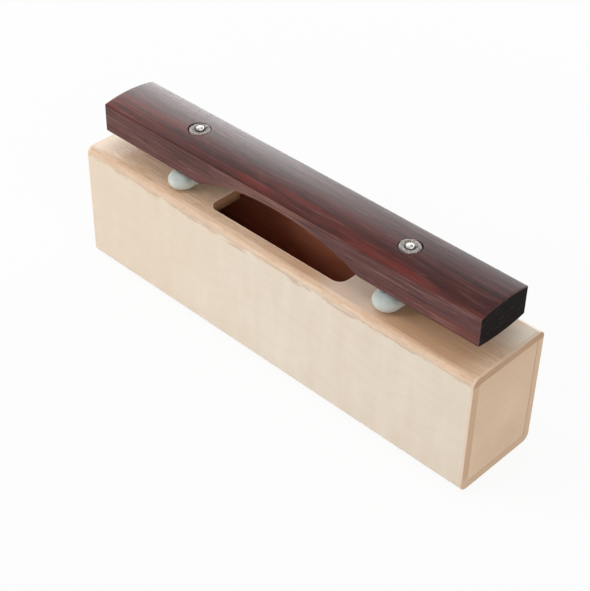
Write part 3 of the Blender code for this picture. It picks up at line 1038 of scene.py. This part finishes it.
for side in SIDES.values():
    cut(bar, recess_cutter(side * STILL_POINT))
    cut(bar, bore_cutter(side * STILL_POINT, BAR_LOW - CUT_PAST, BAR_HIGH, BAR_HOLE))
bar.data.materials.append(ROSEWOOD_END)
bar.data.materials.append(PLANED)
polish(bar)
sort_faces(bar.data, bar_faces)
bar.data.transform(Matrix.Rotation(SKEW, 4, "Z"))
print("Bar with holes:", len(bar.data.polygons), "faces")

# %% [markdown]
# ## The soft pads
# The bar rests where it moves least when it rings, on two cushions of milky silicone. Light goes a little
# way into it and comes out again elsewhere, which Subsurface stands for. Dust clings to silicone: it shows
# as pale specks, and as a soft Sheen where the surface turns away. The thin rim is painted a little paler,
# as a painted glow of light through the thin edge.

# %% Finish: milky silicone
PAD_WIDTH, PAD_LENGTH = 0.017, 0.049
PAD_REACH, PAD_MIDDLE = (PAD_LENGTH - PAD_WIDTH) / 2, STILL_POINT - 0.0006


def off_axis(along, aside):
    """The distance from a vertical line, from how far a point lies along the bar and aside."""
    return vectors("LENGTH", point(along.tree, along, aside))["Value"]


def milky_silicone():
    made, shader, place = finish("milky_silicone", Subsurface_Weight=1.0, Subsurface_Scale=0.007,
                                 Subsurface_Radius=(1.0, 1.0, 0.9), Specular_IOR_Level=0.45, Sheen_Weight=0.9,
                                 Sheen_Roughness=0.22, Sheen_Tint=(1.0, 0.95, 0.88, 1.0))
    along, aside, _ = axes(place)
    cloud = noise(place, 0.006, 3.0)
    dust = between(noise(place, 0.0006, 2.0, 0.7), 0.66, 0.80)
    away = off_axis(abs(along) - PAD_MIDDLE, most(abs(aside) - PAD_REACH, 0.0))
    # painted highlight: the thin rim is paler, a painted glow of light through the edge
    rim_glow = between(away, PAD_WIDTH / 2 - 0.0020, PAD_WIDTH / 2)
    colour = ramp(cloud, (0.3, (178, 185, 181)), (0.7, (192, 197, 192)))
    colour = layered(colour, (dust * 0.35, (214, 208, 196)), (rim_glow * 0.15, (236, 224, 206)))
    coat(shader, colour, noise(place, 0.0005), 0.00002, cloud * 0.2 + 0.30)
    return made


SILICONE = milky_silicone()
print("Pad finish:", SILICONE.name)

# %% [markdown]
# A cushion is full and round where it is free, flat where it stands on the box, and takes the bar's shape
# where the bar presses on it. It is drawn as a stack of oblongs with round ends, a little too tall, and its
# points are then held between the lid below and the bar above. The pads were set down by hand: the left one
# lies a little towards the middle, and the right one a little further back.

# %% Make the pads
PAD_FREE_HEIGHT, PAD_FULLNESS, PAD_FALL, PAD_SUNK = 0.0100, 2.2, 0.0008, 0.0002
PAD_PLACE = {"left": (-0.0788, 0.0), "right": (0.0800, 0.0007)}
TOUCH = 0.00004


def oblong(radius, reach, steps=20, flank=12):
    """Two half circles with straight flanks between them, as points in X and Y."""
    rise = [reach * (2 * step / flank - 1) for step in range(1, flank)]
    points = arc((0, reach), radius, 0, 180, steps) + [(-radius, -y) for y in rise]
    return points + arc((0, -reach), radius, 180, 360, steps) + [(radius, y) for y in rise]


def pad_mesh(name, along, aside, rows=36):
    low, high = BOX_HEIGHT - PAD_SUNK, BOX_HEIGHT + PAD_FREE_HEIGHT
    fall = PAD_FALL / (high - low)
    power = 2 / PAD_FULLNESS
    rings = []
    for row in range(1, rows):
        pitch = math.pi * (row / rows - 0.5)
        spread = PAD_WIDTH / 2 * math.cos(pitch) ** power
        height = (low + high) / 2 + (high - low) / 2 * math.copysign(abs(math.sin(pitch)) ** power, pitch)
        ring = []
        for x, y in oblong(spread, PAD_REACH):
            under_bar = BAR_LOW + CROWN_BELOW * (2 * (aside + y) / BAR_WIDTH) ** 2 - TOUCH
            drooped = height - (height - low) * fall * (2 * y / PAD_LENGTH) ** 2
            ring.append((along + x, aside + y, max(min(drooped, under_bar), BOX_HEIGHT + TOUCH)))
        rings.append(ring)
    return skin(name, rings)


pads = {}
for name, side in SIDES.items():
    made = pads[name] = piece(name + "_cushion", pad_mesh(name, *PAD_PLACE[name]), SILICONE)
    cut(made, bore_cutter(side * STILL_POINT, BOX_HEIGHT - CUT_PAST, BAR_LOW + CUT_PAST))
    polish(made, 50)
print("Pads:", {name: [round(v * 1000, 1) for v in made.dimensions] for name, made in pads.items()})

# %% [markdown]
# ## Pins
# A pin is turned on a lathe, so its mesh is one profile that is spun round: a low dome, a thin rim, the
# shank and the point that goes into the block below. The steel is bright, with fine grain and small dents
# from the hammer.

# %% Finish and turn the pins
HEAD_LOW, HEAD_RADIUS, HEAD_RIM, RIM_EASE, DOME = 0.1104, 0.00235, 0.0003, 0.00012, 0.0014
SHANK, PIN_POINT, PIN_TIP = 0.0015, 0.005, 0.0597


def turned(name, profile, along, segments=64):
    """A profile of radius and height, spun round a vertical line at that place along the bar."""
    turns = [2 * math.pi * step / segments for step in range(segments)]
    return skin(name, [[(along + r * math.cos(t), r * math.sin(t), z) for t in turns] for r, z in profile])


def bright_steel():
    made, shader, place = finish("bright_steel", Metallic=1.0)
    fine = noise(place, 0.0009, 4.0, 0.7)
    dents = noise(place, 0.0016, 1.0)
    colour = layered((232, 231, 228), (between(fine, 0.48, 0.75), (190, 186, 178)))
    coat(shader, colour, dents * 3.0 + fine, 0.00002, fine * 0.20 + 0.32)
    return made


def pin_profile():
    dome = []
    for step in range(1, 13):
        turn = math.pi / 2 * step / 12
        dome.append((HEAD_RADIUS * math.sin(turn), HEAD_LOW + HEAD_RIM + DOME * math.cos(turn)))
    rim = [(HEAD_RADIUS, HEAD_LOW + RIM_EASE), (HEAD_RADIUS - RIM_EASE, HEAD_LOW)]
    neck = [(SHANK + 0.0003, HEAD_LOW), (SHANK + 0.00008, HEAD_LOW - 0.0001), (SHANK, HEAD_LOW - 0.0004)]
    tip = [(SHANK, PIN_TIP + PIN_POINT), (0.0001, PIN_TIP)]
    return [(0.00002, HEAD_LOW + HEAD_RIM + DOME)] + dome + rim + neck + tip


STEEL = bright_steel()
pins = {}
for name, side in SIDES.items():
    made = pins[name] = piece(name + "_nail", turned(name, pin_profile(), side * STILL_POINT), STEEL)
    polish(made, 40)
print("Pins:", [made.name for made in pins.values()])

# %% [markdown]
# ## Felt washers
# Felt has no smooth skin: it is fibres of many greys, pressed together. Every fibre will get a tone of its
# own, which the finish reads as an attribute, and that gives pressed felt its speckled look. A dark ring
# round the pin's head is painted shade of the gap under the head.

# %% Finish: speckled felt
HEAD_SHADE_TO, HEAD_SHADE_FROM = 0.0037, 0.0029


def speckled_felt():
    made, shader, place = finish("speckled_felt", Roughness=0.95, Specular_IOR_Level=0.1, Sheen_Weight=0.25,
                                 Sheen_Roughness=0.6)
    along, aside, _ = axes(place)
    tone = put(place.tree, "ShaderNodeAttribute", attribute_name="fibre_tone")["Fac"]
    tufts = noise(place, 0.0011, 3.0, 0.65)
    creases = between(noise(place, (0.0022, 0.0022, 0.0030), 3.0, 0.6), 0.52, 0.64)
    tone = creases * -0.14 + (tone * 0.45 + tufts * 0.75)
    # painted shade: a dark ring round the pin's head
    head_shade = between(off_axis(abs(along) - STILL_POINT, aside), HEAD_SHADE_TO, HEAD_SHADE_FROM)
    colour = ramp(tone, (0.34, (98, 90, 86)), (0.50, (160, 151, 145)), (0.68, (208, 200, 194)))
    colour = layered(colour, (head_shade * 0.80, (46, 42, 41)))
    coat(shader, colour, noise(place, 0.0003, 3.0), 0.0001)
    return made


FELT = speckled_felt()
print("Felt finish:", FELT.name)

# %% [markdown]
# A turned ring will give the washer its body, and a tree of Geometry Nodes makes it felt: it pushes the
# surface in and out by a noise, scatters points over it, and lays a short bent fibre on each, turned by
# chance. The seeds are fixed, so the felt comes out the same each time.

# %% Grow the felt
FIBRE_LIFT, BODY_TONE, TONE_SEED = 0.22, 0.4, 7


def chance(tree, low, high, seed):
    """A number by chance for each point, between those two."""
    return put(tree, "FunctionNodeRandomValue", {2: low, 3: high, "Seed": seed})[1]


def toned(geometry, tone, domain):
    inputs = {"Geometry": geometry, "Name": "fibre_tone", "Value": tone}
    return put(geometry.tree, "GeometryNodeStoreNamedAttribute", inputs, data_type="FLOAT", domain=domain)


def felt_tree():
    tree, given = new_tree("felt", {
        "Lumps": "Float", "Lump Size": "Float", "Fibre Density": "Float", "Fibre Length": "Float",
        "Fibre Width": "Float", "Seed": "Int", "Finish": "Material"})
    cloud = put(tree, "ShaderNodeTexNoise", {"Scale": 1.0 / given["Lump Size"], "Detail": 2.0})["Fac"]
    push = (cloud - 0.5) * given["Lumps"]
    normal = put(tree, "GeometryNodeInputNormal")
    offset = put(tree, "ShaderNodeVectorMath", {0: normal, "Scale": push}, operation="SCALE")
    body = moved(given["Geometry"], offset)
    spots = put(tree, "GeometryNodeDistributePointsOnFaces",
                {"Mesh": body, "Density": given["Fibre Density"], "Seed": given["Seed"]})
    half = given["Fibre Length"] / 2.0
    bow = {"Start": point(tree, half * -1.0), "Middle": point(tree, 0.0, half, half * FIBRE_LIFT),
           "End": point(tree, half)}
    path = put(tree, "GeometryNodeCurveQuadraticBezier", {"Resolution": 4, **bow})
    round_section = {"Resolution": 3, "Radius": given["Fibre Width"] / 2.0}
    fibre = swept(path, put(tree, "GeometryNodeCurvePrimitiveCircle", round_section))
    spin = point(tree, z=chance(tree, 0.0, 2 * math.pi, given["Seed"]))
    about = put(tree, "FunctionNodeEulerToRotation", {0: spin})
    lie = put(tree, "FunctionNodeRotateRotation", {"Rotation": spots["Rotation"], "Rotate By": about},
              rotation_space="LOCAL")
    size = chance(tree, 0.5, 1.3, given["Seed"])
    laid = put(tree, "GeometryNodeInstanceOnPoints",
               {"Points": spots["Points"], "Instance": fibre, "Rotation": lie, "Scale": size})
    fibres = realized(toned(laid, chance(tree, 0.0, 1.0, TONE_SEED), "INSTANCE"))
    both = put(tree, "GeometryNodeJoinGeometry")
    for part in (fibres, toned(body, BODY_TONE, "POINT")):
        part.plug(both.node.inputs[0])
    return end_tree(both, given["Finish"])


felting = felt_tree()
print("Felt tree:", len(felting.nodes), "nodes")

# %% [markdown]
# The washers are cut by hand, so no two have the same outline. They stand a hair above the wood, the pin's
# head has pressed a dish into each, and they are loose: both have slid towards the middle of the bar, so a
# dark sickle of the recess shows on the outer side.

# %% Turn and place the washers
WASHER_LOW, WASHER_HIGH = 0.1070, 0.1108
WASHER_RADIUS, WASHER_HOLE, WASHER_ROUND = 0.0061, 0.0023, 0.0007
DISH_DEPTH, DISH_EDGE, DISH_SLOPE = 0.0008, 0.0031, 0.0011
WASHER_SLIP = {"left": (0.0003, 0.0001), "right": (-0.0003, 0.0001)}


def washer_profile():
    low, high, outer, soft = WASHER_LOW, WASHER_HIGH, WASHER_RADIUS, WASHER_ROUND
    steps = [WASHER_HOLE + (outer - soft - WASHER_HOLE) * step / 18 for step in range(19)]
    dish = [DISH_DEPTH * (1 - min(max((r - DISH_EDGE) / DISH_SLOPE, 0), 1) ** 1.5) for r in steps]
    top = [(r, high - deep) for r, deep in zip(steps, dish)]
    top += arc((outer - soft, high - soft), soft, 90, 0, 6)[1:]
    side = [(outer, low + soft + (high - low - 2 * soft) * step / 6) for step in range(5, 0, -1)]
    under = arc((outer - soft, low + soft), soft, 0, -90, 6) + [(r, low) for r in steps[::-1][1:]]
    return top + side + under


def hand_cut(turn, seed):
    """How far scissors strayed from the round at that angle, as a share of the radius."""
    waves = ((0.030, 2 * turn + seed), (0.022, 5 * turn + 3 * seed), (0.014, 9 * turn - seed))
    return sum(height * math.sin(angle) for height, angle in waves)


def washer_mesh(name, middle, seed, segments=128):
    """The washer's profile spun round, in a loop, so that the hole stays open."""
    rings = []
    for step in range(segments):
        turn = 2 * math.pi * step / segments
        ring = []
        for r, z in washer_profile():
            r *= 1 + hand_cut(turn, seed) * (r - WASHER_HOLE) / (WASHER_RADIUS - WASHER_HOLE)
            ring.append((middle[0] + r * math.cos(turn), middle[1] + r * math.sin(turn), z))
        rings.append(ring)
    return skin(name, rings, looped=True)


washers = {}
for name, side in SIDES.items():
    along, across = WASHER_SLIP[name]
    middle = (side * STILL_POINT + along, side * STILL_POINT * math.sin(SKEW) + across)
    made = washers[name] = piece(name + "_felt", washer_mesh(name, middle, 1.0 + side))
    grow(made, felting, {
        "Lumps": 0.0005, "Lump Size": 0.0016, "Fibre Density": 3.2e6, "Fibre Length": 0.0011,
        "Fibre Width": 0.00004, "Seed": 11 + side, "Finish": FELT})
    settle(made)
    made.data.shade_smooth()
print("Felt washers:", {name: len(made.data.polygons) for name, made in washers.items()}, "faces")

# %% [markdown]
# ## The pin blocks
# Two blocks of raw softwood are glued under the lid to hold the pins. They are hidden in the box, and the
# CAD solids already have the right shape, so they only get a finish: straight, open grain without varnish.

# %% Finish the blocks
def raw_softwood():
    made, shader, place = finish("raw_softwood", Roughness=0.8, Specular_IOR_Level=0.2)
    late = layer_lines(place, (0.01, 0.02), 0.004, 0.0018, 0.5)
    fibres = noise(place, (0.02, 0.0005, 0.0005), 3.0)
    colour = ramp(fibres, (0.3, (196, 160, 112)), (0.7, (214, 182, 136)))
    coat(shader, layered(colour, (late * 0.6, (166, 116, 66))), late, 0.00006)
    return made


SOFTWOOD = raw_softwood()
for name in SIDES:
    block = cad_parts[name + "_pin_block"]
    block.data.materials.clear()
    block.data.materials.append(SOFTWOOD)
print("Blocks now have the finish", SOFTWOOD.name)

# %% [markdown]
# ## Tie the pieces to the CAD bodies
# Last, each new piece is told which CAD body carries it, and the CAD solid that it stands for is hidden.
# Each pad then gets a mesh of its own. At the end of its travel the bar sinks by 1.2 mm.

# %% Ride and replace
def stand_for(made, body, node):
    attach(made, body)
    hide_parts(node)


for place, slot in (("top", "beech_board"), ("bottom", "beech_board"), ("front", "maple_board"),
                    ("rear", "maple_board")):
    stand_for(boards[place + "_board"], "box", "box_" + place)
stand_for(bar, "bar", "tone_bar")
for name, side in SIDES.items():
    stand_for(panels[name], "box", name + "_end_panel")
    stand_for(pins[name], "box", name + "_pin")
    stand_for(washers[name], "bar", name + "_washer")
    stand_for(pads[name], "box", name + "_pad")
    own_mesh(pads[name])
